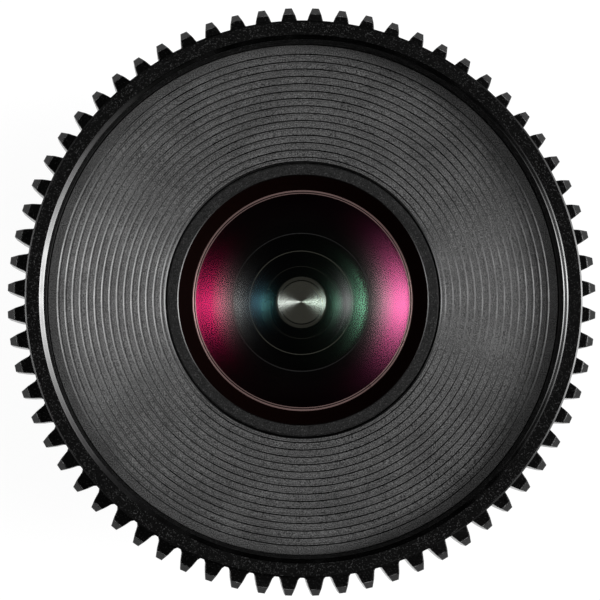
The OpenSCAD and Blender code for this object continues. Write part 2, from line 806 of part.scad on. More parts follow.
// Light mask with a rounded picture-shaped window
module rear_light_mask() color(black) difference() {
    rod(spigot_bore_r - seat_gap, mask_low, mask_low + mask_t);
    translate([0, 0, mask_low - cut]) {
        inner_w = mask_w - 2 * mask_corner_r;
        inner_h = mask_h - 2 * mask_corner_r;
        depth = mask_t + 2 * cut;
        translate([-mask_w / 2, -inner_h / 2, 0]) cube([mask_w, inner_h, depth]);
        translate([-inner_w / 2, -mask_h / 2, 0]) cube([inner_w, mask_h, depth]);
        for (x = [-1, 1], y = [-1, 1])
            translate([x * inner_w / 2, y * inner_h / 2, 0]) cylinder(r = mask_corner_r, h = depth);
    }
}

module barrel_set_screws() color(steel) {
    for (a = rear_screw_angles) grub_screw(screw_r, rear_bore_r, rear_r - screw_inset, a, rear_screw_z);
}

module alignment_dot() color(red) {
    spoke(dot_r, rear_r - dot_depth + seat_gap, rear_r + dot_proud, dot_angle, rear_screw_z);
}

module focus_retaining_ring() color(black) difference() {
    tube(focus_bore_r - retaining_ring_gap, barrel_r + seat_gap, main_top - retaining_ring_h, main_top);
    for (a = [0, 180]) rotate([0, 0, a])
        translate([barrel_r - cut, -spanner_w / 2, main_top - spanner_depth])
            cube([focus_wall + 2 * cut, spanner_w, spanner_depth + cut]);
}

// Focus ring

module focus_gear_ring() color(black) {
    gear_low = z_focus_top - focus_gear_w;
    low = z_focus + end_play;
    difference() {
        union() {
            gear(focus_teeth, focus_bore_r, gear_low, z_focus_top);
            turned([
                [focus_bore_r, low], [focus_band_r - small_chamfer, low],
                [focus_band_r, low + small_chamfer], [focus_band_r, gear_low + cut],
                [focus_bore_r, gear_low + cut]
            ]);
        }
        for (a = focus_screw_angles)
            spoke(focus_screw_r + seat_gap, focus_bore_r - cut, focus_tip_r + cut, a, focus_screw_z);
    }
}

// Body that cuts one helical slot; the roller runs in it as the sleeve turns
module cam_slot(angle, z) {
    half_h = roller_r + run_gap;
    inner = cam_bore_r - cut;
    outer = cam_r + cut;
    margin = asin((half_h + cam_stop_gap) / cam_bore_r);
    turns = [for (i = [0:cam_steps]) margin - i * (focus_throw + 2 * margin) / cam_steps];
    points = [for (turn = turns)
        let (mid = z - turn * focus_travel / focus_throw)
        let (direction = polar(1, angle + turn))
        each [for (corner = [[inner, -1], [outer, -1], [outer, 1], [inner, 1]])
            [direction[0] * corner[0], direction[1] * corner[0], mid + corner[1] * half_h]]];
    sides = [for (i = [0:cam_steps - 1], j = [0:3])
        let (a = 4 * i + j, b = 4 * i + (j + 1) % 4)
        each [[b, a, b + 4], [b + 4, a, a + 4]]];
    last = 4 * cam_steps;
    polyhedron(points, concat([[0, 1, 2, 3]], sides, [[last + 3, last + 2, last + 1, last]]));
}

module focus_cam_sleeve() color(brass_tone) difference() {
    tube(cam_r, cam_bore_r, sleeve_low, sleeve_top);
    for (k = [0:roller_count - 1]) cam_slot(roller_angle(k), roller_z(k));
    for (a = focus_screw_angles)
        spoke(focus_screw_r + seat_gap, focus_screw_in - seat_gap, cam_r + cut, a, focus_screw_z);
}

module focus_set_screws() color(steel) {
    for (a = focus_screw_angles)
        grub_screw(focus_screw_r, focus_screw_in, focus_band_r - screw_inset, a, focus_screw_z);
}

// Optical block, which slides without turning

module focus_carrier() color(black) difference() {
    web_bore_r = optical_r + run_gap;
    web_low = carrier_web_top - carrier_web_t;
    rim_low = carrier_top - carrier_rim_h;
    turned([
        [carrier_bore_r, carrier_low], [carrier_r, carrier_low], [carrier_r, carrier_top],
        [carrier_rim_bore_r, carrier_top], [carrier_rim_bore_r, rim_low], [carrier_bore_r, rim_low],
        [carrier_bore_r, carrier_web_top], [web_bore_r, carrier_web_top], [web_bore_r, web_low],
        [carrier_bore_r, web_low]
    ]);
    for (k = [0:roller_count - 1])
        spoke(roller_screw_r + seat_gap, carrier_bore_r - cut, carrier_r + cut, roller_angle(k), roller_z(k));
    pin_arc(carrier_bore_r - cut, carrier_r + cut, focus_travel);
    at_angles(rim_screw_angles, rim_screw_r)
        rod(screw_r + seat_gap, carrier_top - rim_screw_len, carrier_top + cut);
    at_angles(optical_screw_angles, optical_screw_r)
        rod(screw_r + seat_gap, carrier_web_top - optical_screw_len - seat_gap, carrier_web_top + cut);
}

module cam_rollers() color(brass_tone) {
    for (k = [0:roller_count - 1]) difference() {
        spoke(roller_r, roller_in, roller_out, roller_angle(k), roller_z(k));
        spoke(roller_bore_r, roller_in - cut, roller_out + cut, roller_angle(k), roller_z(k));
    }
}

module roller_screws() color(steel) {
    for (k = [0:roller_count - 1]) difference() {
        union() {
            spoke(roller_screw_r, carrier_bore_r + pin_end_gap, roller_out + roller_head_h / 2,
                roller_angle(k), roller_z(k));
            spoke(roller_head_r, roller_out + seat_gap, roller_head_out, roller_angle(k), roller_z(k));
        }
        rotate([0, 0, roller_angle(k)])
            translate([roller_head_out - slot_w / 2, -roller_r, roller_z(k) - slot_w / 2])
                cube([slot_w, 2 * roller_r, slot_w]);
    }
}

// Front ring; its thread is a plain wall at the thread's inner diameter
module filter_ring() color(black) difference() {
    thread_top = z_front - rim_bevel;
    turned([
        [carrier_rim_bore_r, z_rim], [rim_r - rim_edge, z_rim], [rim_r, z_rim + rim_edge],
        [rim_r, z_front - rim_edge], [rim_r - rim_edge, z_front], [mouth_r, z_front],
        [thread_r, thread_top], [thread_minor_r, thread_top - thread_lead],
        [thread_minor_r, z_thread_floor], [relief_r, z_thread_floor],
        [relief_r, z_rim + web_t], [carrier_rim_bore_r, z_rim + web_t]
    ]);
    at_angles(rim_screw_angles, rim_screw_r) translate([0, 0, rim_screw_top])
        rotate([180, 0, 0]) flat_screw_hole(web_t + cut);
}

module filter_ring_screws() color(steel) {
    at_angles(rim_screw_angles, rim_screw_r) translate([0, 0, rim_screw_top])
        rotate([180, 0, 0]) flat_screw(rim_screw_top - carrier_top + rim_screw_len - seat_gap);
}

// Dished ring with fine concentric grooves in its front face
module front_baffle() color(charcoal) {
    groove_out_r = baffle_r - baffle_margin;
    slope = baffle_dish / (groove_out_r - baffle_bore_r);
    grooves = floor((groove_out_r - baffle_bore_r - groove_w) / groove_pitch);
    groove_foot = groove_w / 6;
    inner_top = baffle_top - baffle_dish;
    turned(concat(
        [[baffle_bore_r, baffle_bed], [baffle_r, baffle_bed], [baffle_r, baffle_top],
         [groove_out_r + groove_w / 2, baffle_top]],
        [for (i = [0:grooves]) let (r = groove_out_r - i * groove_pitch) each [
            [r + groove_w / 2, inner_top + (r - baffle_bore_r) * slope],
            [r + groove_foot, inner_top + (r - baffle_bore_r) * slope - groove_depth],
            [r - groove_w / 2, inner_top + (r - baffle_bore_r) * slope]]],
        [[baffle_bore_r, inner_top]]
    ));
}

module front_retaining_ring() color(charcoal) {
    turned([
        [ring_in_r, ring_low], [ring_skirt_r, ring_low], [ring_skirt_r, ring_top - ring_flange_t],
        [ring_r, ring_top - ring_flange_t], [ring_r, ring_top - small_chamfer / 2],
        [ring_r - small_chamfer / 2, ring_top], [ring_slope_top_r, ring_top],
        [ring_in_r, ring_low + ring_lip_t]
    ]);
}

module front_cell() color(black) {
    skirt_bore = ring_skirt_r + seat_gap;
    second_bore = second_r + run_gap;
    third_bore = third_r + run_gap;
    turned([
        [third_bore, cell_low], [spigot_cell_r, cell_low], [spigot_cell_r, cell_foot],
        [cell_r, cell_foot], [cell_r, cell_top], [skirt_bore, cell_top],
        [skirt_bore, ring_low - seat_gap], [front_r + run_gap, ring_low - seat_gap],
        [front_r + run_gap, front_low - seat_gap], [second_bore, front_low - seat_gap],
        [second_bore, second_low - seat_gap], [cell_lip_r, second_low - seat_gap],
        [cell_lip_r, second_low - cell_lip_t], [third_bore, second_low - cell_lip_t]
    ]);
}

module front_element() color(glass_tone) {
    meniscus(front_top, front_curve, front_back, front_hollow, front_r, front_low);
}

module second_element() color(glass_tone) {
    meniscus(second_top, second_curve, second_back, second_hollow, second_r, second_low);
}

module third_element() color(glass_tone) {
    meniscus(third_top, third_curve, third_back, third_hollow, third_r, third_low);
}

module front_cell_lock_ring() color(black) {
    tube(third_r, third_r - lock_ring_w, third_low - seat_gap - lock_ring_t, third_low - seat_gap);
}

module optical_barrel() color(black) difference() {
    turned([
        [chamber_r, optical_low], [optical_r, optical_low], [optical_r, optical_flange_low],
        [optical_flange_r, optical_flange_low], [optical_flange_r, optical_flange_low + optical_flange_t],
        [optical_r, optical_flange_low + optical_flange_t], [optical_r, optical_top],
        [optical_bore_r, optical_top], [optical_bore_r, optical_floor], [middle_bore_r, optical_floor],
        [middle_bore_r, lip_top], [barrel_lip_r, lip_top], [barrel_lip_r, lip_low], [chamber_r, lip_low]
    ]);
    margin = asin((arm_w / 2 + arc_gap) / (chamber_r - cut));
    arc_block(optical_r + cut, chamber_r - cut, cam_ring_top - cam_ring_t - arc_gap,
        cam_ring_top + arc_gap, iris_pin_angle - margin, iris_throw + 2 * margin);
    at_angles(optical_screw_angles, optical_screw_r)
        rod(screw_r + run_gap, optical_flange_low - cut, optical_flange_low + optical_flange_t + cut);
}

module optical_barrel_screws() color(steel) {
    top = optical_flange_low + optical_flange_t + seat_gap;
    at_angles(optical_screw_angles, optical_screw_r) difference() {
        union() {
            rod(screw_r, carrier_web_top - optical_screw_len, top + cut);
            rod(screw_head_r, top, top + optical_screw_head_h);
        }
        translate([0, 0, top + optical_screw_head_h - slot_depth])
            cylinder(r = screw_r, h = slot_depth + cut, $fn = 6);
    }
}

module fourth_element() color(glass_tone) {
    biconvex(fourth_top, fourth_curve, fourth_back, fourth_curve, fourth_r);
}

module middle_spacer() color(black) {
    tube(middle_bore_r - seat_gap, middle_ring_in_r, spacer_low, spacer_top);
}

module fifth_element() color(glass_tone) {
    biconvex(fifth_top, fifth_curve, fifth_back, pair_curve, pair_r);
}

module sixth_element() color(glass_tone) {
    biconcave(sixth_top, pair_curve, sixth_back, sixth_hollow, pair_r, sixth_low,
        sixth_top + sag(pair_curve, pair_r));
}

module middle_lock_ring() color(black) {
    tube(middle_bore_r - seat_gap, middle_ring_in_r, middle_lock_low, middle_lock_low + middle_lock_t);
}

module rear_cell() color(black) {
    seventh_bore = seventh_r + run_gap;
    ninth_bore = ninth_r + run_gap;
    tail_bore = tail_r + run_gap;
    turned([
        [tail_bore, rear_cell_low], [optical_r, rear_cell_low], [optical_r, rear_cell_shoulder],
        [cell_bearing_r, rear_cell_shoulder], [cell_bearing_r, rear_cell_top], [rear_lip_r, rear_cell_top],
        [rear_lip_r, rear_cell_top - rear_lip_t], [seventh_bore, rear_cell_top - rear_lip_t],
        [seventh_bore, ninth_shelf], [ninth_bore, ninth_shelf], [ninth_bore, tail_shelf],
        [tail_bore, tail_shelf]
    ]);
}

module seventh_element() color(glass_tone) {
    biconcave(seventh_top, seventh_front, seventh_back, seventh_back_curve, seventh_r,
        seventh_low, seventh_high);
}

module eighth_element() color(glass_tone) {
    biconvex(eighth_top, seventh_back_curve, eighth_back, eighth_back_curve, seventh_r);
}

module ninth_element() color(glass_tone) {
    biconvex(ninth_top, ninth_front, ninth_back, ninth_back_curve, ninth_r);
}

module rear_element() color(glass_tone) {
    biconvex(tail_top, tail_front, tail_back, tail_back_curve, tail_r);
}

module rear_spacer_1() color(black) {
    tube(seventh_r, spacer_1_in_r, spacer_1_low, spacer_1_top);
}

module rear_spacer_2() color(black) {
    tube(ninth_r, spacer_2_in_r, spacer_2_low, spacer_2_top);
}

module rear_retaining_ring() color(black) difference() {
    tube(tail_r, tail_ring_in_r, tail_ring_top - tail_ring_t, tail_ring_top);
    for (a = [0, 180]) rotate([0, 0, a])
        translate([tail_ring_in_r - cut, -slot_w, tail_ring_top - tail_ring_t - cut])
            cube([tail_r, 2 * slot_w, cut + slot_depth]);
}

// Iris

module iris_gear_ring() color(black) {
    low = z_iris + end_play;
    gear_low = low + iris_lip_w;
    high = z_index - end_play;
    difference() {
        union() {
            gear(iris_teeth, iris_bore_r, gear_low, gear_low + iris_gear_w);
            turned([
                [iris_bore_r, low], [iris_band_r - small_chamfer, low], [iris_band_r, low + small_chamfer],
                [iris_band_r, high - small_chamfer], [iris_band_r - small_chamfer, high], [iris_bore_r, high]
            ]);
        }
        spoke(iris_pin_r + seat_gap, iris_bore_r - cut, iris_tip_r + cut, iris_pin_angle, iris_pin_z);
    }
}

module iris_drive_pin() color(steel) difference() {
    spoke(iris_pin_r, fork_in + 2 * fork_web, iris_pin_out, iris_pin_angle, iris_pin_z);
    rotate([0, 0, iris_pin_angle])
        translate([iris_pin_out - slot_depth, -iris_pin_r - cut, iris_pin_z - slot_w / 2])
            cube([slot_depth + cut, 2 * (iris_pin_r + cut), slot_w]);
}

// Place of a blade's drive pin, as seen on the cam ring, when the iris is closed by share
function cam_point(share) =
    turned_about(
        turned_about(polar(follower_r, drive_angle), [pivot_circle_r, 0], blade_turn * share),
        [0, 0], -iris_throw * share);

// Curved slot in the cam ring for one blade's drive pin
module blade_slot() {
    half_w = blade_pin_r + run_gap;
    path = [for (i = [0:slot_steps]) cam_point(i / slot_steps)];
    side = [for (i = [0:slot_steps])
        let (d = path[min(i + 1, slot_steps)] - path[max(i - 1, 0)])
        [-d[1], d[0]] * half_w / norm(d)];
    round_turns = [for (k = [1:slot_round_steps - 1]) -180 * k / slot_round_steps];
    last = path[slot_steps];
    outline = concat(
        [for (i = [0:slot_steps]) path[i] + side[i]],
        [for (turn = round_turns) turned_about(last + side[slot_steps], last, turn)],
        [for (i = [slot_steps:-1:0]) path[i] - side[i]],
        [for (turn = round_turns) turned_about(path[0] - side[0], path[0], turn)]);
    translate([0, 0, cam_ring_top - cam_ring_t - cut])
        linear_extrude(height = cam_ring_t + 2 * cut) polygon(outline);
}

module iris_cam_ring() color(brass_tone) difference() {
    low = cam_ring_top - cam_ring_t;
    union() {
        tube(cam_ring_r, base_bore_r, low, cam_ring_top);
        rotate([0, 0, iris_pin_angle]) {
            translate([cam_ring_r - arm_root, -arm_w / 2, low])
                cube([fork_in + arm_root + cut - cam_ring_r, arm_w, cam_ring_t]);
            translate([fork_in, -fork_w / 2, fork_low])
                cube([fork_out - fork_in, fork_w, cam_ring_top - fork_low]);
        }
    }
    for (a = even_angles(blade_count, 0)) rotate([0, 0, a]) blade_slot();
    rotate([0, 0, iris_pin_angle])
        translate([fork_in + fork_web, -iris_pin_r - run_gap, fork_low - cut])
            cube([fork_out, 2 * (iris_pin_r + run_gap), cam_ring_top - fork_low - cam_ring_t + cut]);
}

module iris_base_plate() color(brass_tone) difference() {
    tube(cell_bearing_r, base_bore_r, base_low, base_top);
    at_angles(even_angles(blade_count, 0), pivot_circle_r)
        rod(blade_pin_r + run_gap, base_top - pivot_depth - pin_end_gap, base_top + cut);
}

// Flat bar between two points
module bar(a, b, w, low, high) {
    d = b - a;
    translate([a[0], a[1], low]) rotate([0, 0, atan2(d[1], d[0])])
        translate([0, -w / 2, 0]) cube([norm(d), w, high - low]);
}

// Curved blade with a pivot pin behind it and a drive pin in front of it
module iris_blade(index) color(black) rotate([0, 0, (index - 1) * 360 / blade_count]) {
    low = blade_stack_low + (index - 1) * blade_pitch;
    high = low + blade_t;
    mid_r = (iris_open_r + blade_out_r) / 2;
    pivot = [pivot_circle_r, 0];
    drive = polar(follower_r, drive_angle);
    arc_block(blade_out_r, iris_open_r, low, high, blade_from, blade_to - blade_from);
    for (a = [blade_from, blade_to]) at_angles([a], mid_r) rod(blade_end_r, low, high);
    bar(pivot, polar(mid_r, blade_from + blade_arm_lead), blade_arm_w, low, high);
    bar(drive, polar(mid_r, drive_angle + drive_arm_lead), blade_arm_w, low, high);
    translate(pivot) rod(blade_lobe_r, low, high);
    translate(drive) rod(blade_lobe_r, low, high);
    translate(pivot) rod(blade_pin_r, base_top - pivot_depth, high);
    translate(drive) rod(blade_pin_r, low, cam_ring_top - pin_end_gap);
}

module iris_blade_1() iris_blade(1);
module iris_blade_2() iris_blade(2);
module iris_blade_3() iris_blade(3);
module iris_blade_4() iris_blade(4);
module iris_blade_5() iris_blade(5);
module iris_blade_6() iris_blade(6);
module iris_blade_7() iris_blade(7);

main_barrel();
rear_barrel();
bayonet_mount();
mount_shim();
mount_screws();
rear_light_mask();
barrel_set_screws();
alignment_dot();
focus_retaining_ring();
focus_gear_ring();
focus_cam_sleeve();
focus_set_screws();
focus_carrier();
cam_rollers();
roller_screws();
filter_ring();
filter_ring_screws();
front_baffle();
front_retaining_ring();
front_cell();
front_element();
second_element();
third_element();
front_cell_lock_ring();
optical_barrel();
optical_barrel_screws();
fourth_element();
middle_spacer();
fifth_element();
sixth_element();
middle_lock_ring();
iris_base_plate();
rear_cell();
seventh_element();
eighth_element();
ninth_element();
rear_element();
rear_spacer_1();
rear_spacer_2();
rear_retaining_ring();
iris_gear_ring();
iris_drive_pin();
iris_cam_ring();
iris_blade_1();
iris_blade_2();
iris_blade_3();
iris_blade_4();
iris_blade_5();
iris_blade_6();
iris_blade_7();
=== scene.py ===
import json
import math
import bpy
import bmesh
from mathutils import Matrix, Vector


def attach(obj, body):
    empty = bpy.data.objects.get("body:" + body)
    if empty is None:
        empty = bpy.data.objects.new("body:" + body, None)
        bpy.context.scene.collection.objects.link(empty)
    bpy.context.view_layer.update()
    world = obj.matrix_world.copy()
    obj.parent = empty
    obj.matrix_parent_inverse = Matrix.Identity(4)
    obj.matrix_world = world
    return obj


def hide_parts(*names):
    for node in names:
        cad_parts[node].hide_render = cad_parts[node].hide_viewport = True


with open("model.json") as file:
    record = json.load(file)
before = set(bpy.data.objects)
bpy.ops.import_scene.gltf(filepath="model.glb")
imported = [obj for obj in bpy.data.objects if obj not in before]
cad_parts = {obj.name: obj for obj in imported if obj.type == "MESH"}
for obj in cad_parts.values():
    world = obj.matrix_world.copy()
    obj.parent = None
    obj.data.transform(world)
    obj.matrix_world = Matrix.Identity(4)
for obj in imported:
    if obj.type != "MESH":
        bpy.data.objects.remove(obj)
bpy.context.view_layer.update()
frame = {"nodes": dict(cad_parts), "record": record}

MM = 0.001
SEGMENTS = 288
FILLET_STEPS = 12
DOME_STEPS = 24
SHARP_ANGLE = math.radians(4.5)

# Second glass in millimetres: its curve, and the cone at its middle that mirrors the soft boxes to the front
SECOND_CURVE = 18.3
CONE_R = 2.3
CONE_TILT = math.radians(23.5)

# Scale marks in millimetres: radii of the bands, width, thickness and rounding of the paint
FOCUS_BAND_R = 25.6
IRIS_BAND_R = 24.3
INDEX_ANGLE = 90
TICK_WIDTH = 0.16
PAINT_LIFT = 0.01
PAINT_THICK = 0.03
PAINT_ROUND = 0.008

# Floor: height in millimetres, radius in metres, and its levels for light, for the eye and in the shadow
FLOOR_Z = -5.0
FLOOR_R = 4.0
FLOOR_MATT = 0.8
FLOOR_GLOW = 0.9
FLOOR_SHADOW = 0.16

# Sky: heights between which the white horizon fades, and the level overhead in mirrors and on matt surfaces
HORIZON_FADE = (0.06, 0.18)
OVERHEAD_MIRRORED = 0.004
OVERHEAD_MATT = 0.30

# Soft boxes: angles off the axis over which each fades in and out, its spread round the axis, its peak
LEFT_BOX = {"side": -1, "fade_in": (27, 40), "fade_out": (47, 52), "spread": 12.5, "peak": 12.0}
RIGHT_BOX = {"side": 1, "fade_in": (32, 47), "fade_out": (61, 67), "spread": 16.0, "peak": 20.0}

# Camera in millimetres
CAMERA_SENSOR = 36.0
CAMERA_LENS = 283.9
CAMERA_AT = (-11.0, -16.0, 496.4)
CAMERA_TARGET = (-0.195, 0.134, 46.4)


# Node graphs

def add(tree, kind, inputs=None, **settings):
    """Adds a node, sets its fields, and sets or links its inputs."""
    node = tree.nodes.new(kind)
    for key, value in settings.items():
        setattr(node, key, value)
    for key, value in (inputs or {}).items():
        if isinstance(value, bpy.types.NodeSocket):
            tree.links.new(value, node.inputs[key])
        else:
            node.inputs[key].default_value = value
    return node


def new_tree(name):
    """An empty material and its node tree."""
    material = bpy.data.materials.new(name)
    material.use_nodes = True
    material.node_tree.nodes.clear()
    return material, material.node_tree


def position(tree):
    """The point on the object, in its own frame."""
    return add(tree, "ShaderNodeTexCoord").outputs["Object"]


def noise(tree, size_mm, detail=2.0):
    """Noise from 0 to 1 with features of about this size."""
    inputs = {"Vector": position(tree), "Scale": 1.0 / (size_mm * MM), "Detail": detail}
    return add(tree, "ShaderNodeTexNoise", inputs).outputs[0]


def math_node(tree, operation, a, b=0.0):
    """One step of arithmetic."""
    return add(tree, "ShaderNodeMath", {0: a, 1: b}, operation=operation).outputs[0]


def remap(tree, value, low, high, to_low=0.0, to_high=1.0, smooth=False):
    """Maps low..high to to_low..to_high, held at the ends."""
    kind = "SMOOTHSTEP" if smooth else "LINEAR"
    inputs = {0: value, 1: low, 2: high, 3: to_low, 4: to_high}
    return add(tree, "ShaderNodeMapRange", inputs, interpolation_type=kind).outputs[0]


def mix(tree, share, first, second):
    """Mix of two colours by a share."""
    return add(tree, "ShaderNodeMix", {0: share, 6: first, 7: second}, data_type="RGBA").outputs[2]


def rgb(red, green, blue):
    return (red, green, blue, 1.0)


def grey(level):
    return rgb(level, level, level)


def radius_from_axis(tree):
    """Distance from the optical axis in metres."""
    parts = add(tree, "ShaderNodeSeparateXYZ", {0: position(tree)}).outputs
    squares = [math_node(tree, "MULTIPLY", parts[k], parts[k]) for k in (0, 1)]
    return math_node(tree, "SQRT", math_node(tree, "ADD", *squares))


def turning_marks(tree, pitch_mm):
    """Fine lathe lines: noise along the radius and the height."""
    height = add(tree, "ShaderNodeSeparateXYZ", {0: position(tree)}).outputs[2]
    along = math_node(tree, "ADD", radius_from_axis(tree), height)
    inputs = {"W": along, "Scale": 1.0 / (pitch_mm * MM), "Detail": 3.0}
    return add(tree, "ShaderNodeTexNoise", inputs, noise_dimensions="1D").outputs[0]


def rounded_normal(tree, width_mm, samples):
    """Normal that runs round edges as if they were rounded over this width."""
    return add(tree, "ShaderNodeBevel", {"Radius": width_mm * MM}, samples=samples).outputs[0]


def edge_mask(tree, width_mm, breakup_mm):
    """1 along convex and concave edges, broken up by noise."""
    soft = rounded_normal(tree, width_mm, 4)
    flat = add(tree, "ShaderNodeNewGeometry").outputs["Normal"]
    turn = add(tree, "ShaderNodeVectorMath", {0: soft, 1: flat}, operation="DOT_PRODUCT").outputs[1]
    edge = remap(tree, turn, 0.995, 0.9)
    return math_node(tree, "MULTIPLY", edge, remap(tree, noise(tree, breakup_mm), 0.35, 0.7))


def bump(tree, height, depth_mm, strength=1.0, over=None):
    """Normal bent by a height, over the given normal or the surface's own."""
    inputs = {"Height": height, "Distance": depth_mm * MM, "Strength": strength}
    if over is not None:
        inputs["Normal"] = over
    return add(tree, "ShaderNodeBump", inputs).outputs[0]


def shade(material, tree, **inputs):
    """Ends a material in a Principled shader with these inputs."""
    named = {key.replace("_", " "): value for key, value in inputs.items()}
    surface = add(tree, "ShaderNodeBsdfPrincipled", named)
    add(tree, "ShaderNodeOutputMaterial", {"Surface": surface.outputs[0]})
    return material


# Materials

def blasted(name, dark, light, roughness, grain_mm, depth_mm, specular=0.5, edge_mm=0.0, speckle=0.0,
            spread=0.0, glow=None, wear_and_highlight=0.4):
    """Bead-blasted and anodised metal: fine grain, faint mottle, bright specks, soft edges lightened partly
    as worn bare metal and partly as a painted highlight.
    """
    speck, bare_metal_and_highlight = grey(0.30), grey(0.60)
    material, tree = new_tree(name)
    grain = noise(tree, grain_mm, 3.0)
    mottle = noise(tree, 4.0)
    colour = mix(tree, remap(tree, grain, 0.37, 0.63), dark, light)
    colour = mix(tree, remap(tree, mottle, 0.35, 0.75, 0.0, 0.35), colour, dark)
    if speckle:
        dots = remap(tree, noise(tree, grain_mm * 0.8, 0.0), 0.66, 0.76, 0.0, speckle)
        colour = mix(tree, dots, colour, speck)
    rough = remap(tree, mottle, 0.3, 0.7, roughness - 0.05, roughness + 0.05)
    rounded = None
    # edges lightened towards bare metal: partly wear, partly a painted highlight along the edges
    if edge_mm:
        rounded = rounded_normal(tree, edge_mm, 6)
        worn_and_highlit = math_node(tree, "MULTIPLY", edge_mask(tree, edge_mm * 0.5, 0.5), wear_and_highlight)
        colour = mix(tree, worn_and_highlit, colour, bare_metal_and_highlight)
    normal = bump(tree, grain, depth_mm, over=rounded)
    extra = {}
    if spread:
        ring = add(tree, "ShaderNodeTangent", direction_type="RADIAL", axis="Z").outputs[0]
        extra = {"Anisotropic": spread, "Anisotropic_Rotation": 0.25, "Tangent": ring}
    # glow is painted light: an even emission on a part that is no lamp
    if glow:
        extra = {"Emission_Color": glow, "Emission_Strength": 1.0}
    return shade(material, tree, Base_Color=colour, Roughness=rough, Normal=normal,
                 Specular_IOR_Level=specular, **extra)


def turned_metal(name, colour, dark, roughness, pitch_mm, depth_mm, metallic=1.0):
    """Bare or plated metal with lathe lines and light smudges."""
    material, tree = new_tree(name)
    lines = turning_marks(tree, pitch_mm)
    smudge = noise(tree, 3.0, 4.0)
    tint = mix(tree, remap(tree, smudge, 0.35, 0.75, 0.0, 0.2), colour, dark)
    tint = mix(tree, remap(tree, lines, 0.3, 0.7, 0.0, 0.6), tint, dark)
    rough = remap(tree, smudge, 0.3, 0.7, roughness - 0.06, roughness + 0.08)
    normal = bump(tree, lines, depth_mm, 0.6)
    return shade(material, tree, Base_Color=tint, Metallic=metallic, Roughness=rough, Normal=normal)


def enamel(name, colour, dark):
    """Glossy filled paint with a slightly uneven skin."""
    material, tree = new_tree(name)
    waves = noise(tree, 0.5)
    tint = mix(tree, waves, colour, dark)
    return shade(material, tree, Base_Color=tint, Roughness=0.25, Normal=bump(tree, waves, 0.01))


def coating(name, left, right, alpha, roughness=0.19, hub=None, cone=None, painted_glow=None):
    """Thin anti-reflection coat whose tint is painted different on its left and right halves, a painted
    difference in the reflections on each side; hub is its tint nearer the axis.
    """
    blend, haze_size, haze_range = 2.0 * MM, 2.5, 0.01
    material, tree = new_tree(name)
    material.cycles.emission_sampling = "NONE"
    across = add(tree, "ShaderNodeSeparateXYZ", {0: position(tree)}).outputs[0]
    # painted reflection: the left and right halves take different tints, so each side reflects the soft
    # boxes in its own colour
    half = remap(tree, across, -blend, blend, smooth=True)
    tint = mix(tree, half, left, right)
    haze = remap(tree, noise(tree, haze_size, 3.0), 0.3, 0.7, roughness - haze_range, roughness + haze_range)
    extra = {}
    if hub:
        hub_left, hub_right, inner, outer = hub
        share = remap(tree, radius_from_axis(tree), inner * MM, outer * MM)
        tint = mix(tree, share, mix(tree, half, hub_left, hub_right), tint)
    if cone:
        tint, extra["Normal"] = pupil_cone(tree, across, cone, tint)
    # painted light: a glowing disc and thin rings that stand in for the light seen through the lens and for
    # bright inner edges
    if painted_glow:
        extra["Emission_Color"] = rgb(1.0, 0.99, 0.80)
        extra["Emission_Strength"] = painted_glow_rings(tree, painted_glow, alpha)
    return shade(material, tree, Base_Color=tint, Metallic=1.0, Roughness=haze, Alpha=alpha, **extra)


def pupil_cone(tree, across, colours, around):
    """Tint and normal of the cone that mirrors both soft boxes at the middle of a dome; its tint is painted
    brighter on the left half than on the right, a painted difference in the reflection.
    """
    blend, edge = 0.2 * MM, 0.1
    metre = 1000.0
    radius = radius_from_axis(tree)
    half = remap(tree, across, -blend, blend)
    outside = remap(tree, radius, CONE_R * MM, (CONE_R + edge) * MM)
    tint = mix(tree, outside, mix(tree, half, *colours), around)
    held = math_node(tree, "MINIMUM", radius, CONE_R * MM)
    flattened = math_node(tree, "DIVIDE", held, 2 * SECOND_CURVE * MM)
    bend = math_node(tree, "SUBTRACT", flattened, math.tan(CONE_TILT))
    return tint, bump(tree, math_node(tree, "MULTIPLY", held, bend), metre)


def painted_glow_rings(tree, bands, alpha):
    """Painted glow of rings about the axis, each (inner radius, outer radius, level), seen through a thin
    coat; it stands in for the light seen through the open iris and for bright inner edges.
    """
    radius = radius_from_axis(tree)
    total = None
    for inner, outer, level in bands:
        inside = math_node(tree, "LESS_THAN", radius, outer * MM)
        band = math_node(tree, "MULTIPLY", math_node(tree, "GREATER_THAN", radius, inner * MM), inside)
        share = math_node(tree, "MULTIPLY", band, level / alpha)
        total = share if total is None else math_node(tree, "ADD", total, share)
    return total


# Gear teeth: strong edge lightening, partly wear and partly a painted highlight on the tooth chamfers
GEAR_BLACK = blasted("gear_black", grey(0.0014), grey(0.0040), roughness=0.24, grain_mm=0.16,
                     depth_mm=0.008, specular=0.35, edge_mm=0.20, speckle=0.06, wear_and_highlight=0.8)
BARREL = blasted("barrel_black", grey(0.0035), grey(0.0095), roughness=0.36, grain_mm=0.18,
                 depth_mm=0.010, specular=0.45, edge_mm=0.15, speckle=0.05)
RIM_BLACK = blasted("rim_black", grey(0.0018), grey(0.0055), roughness=0.30, grain_mm=0.12,
                    depth_mm=0.005, specular=0.08, speckle=0.12)
INNER = blasted("matt_black_inner", grey(0.0003), grey(0.0009), roughness=0.60, grain_mm=0.12,
                depth_mm=0.008, specular=0.03)
CHARCOAL = blasted("charcoal_blasted", grey(0.003), grey(0.132), roughness=0.48, grain_mm=0.10,
                   depth_mm=0.040, specular=0.38, speckle=0.40, spread=0.85)
MARGIN = blasted("baffle_margin", grey(0.006), grey(0.120), roughness=0.60, grain_mm=0.10,
                 depth_mm=0.020, specular=0.15, speckle=0.25)
RING_DARK = blasted("ring_charcoal", grey(0.003), grey(0.020), roughness=0.45, grain_mm=0.12,
                    depth_mm=0.012, specular=0.20, speckle=0.14)
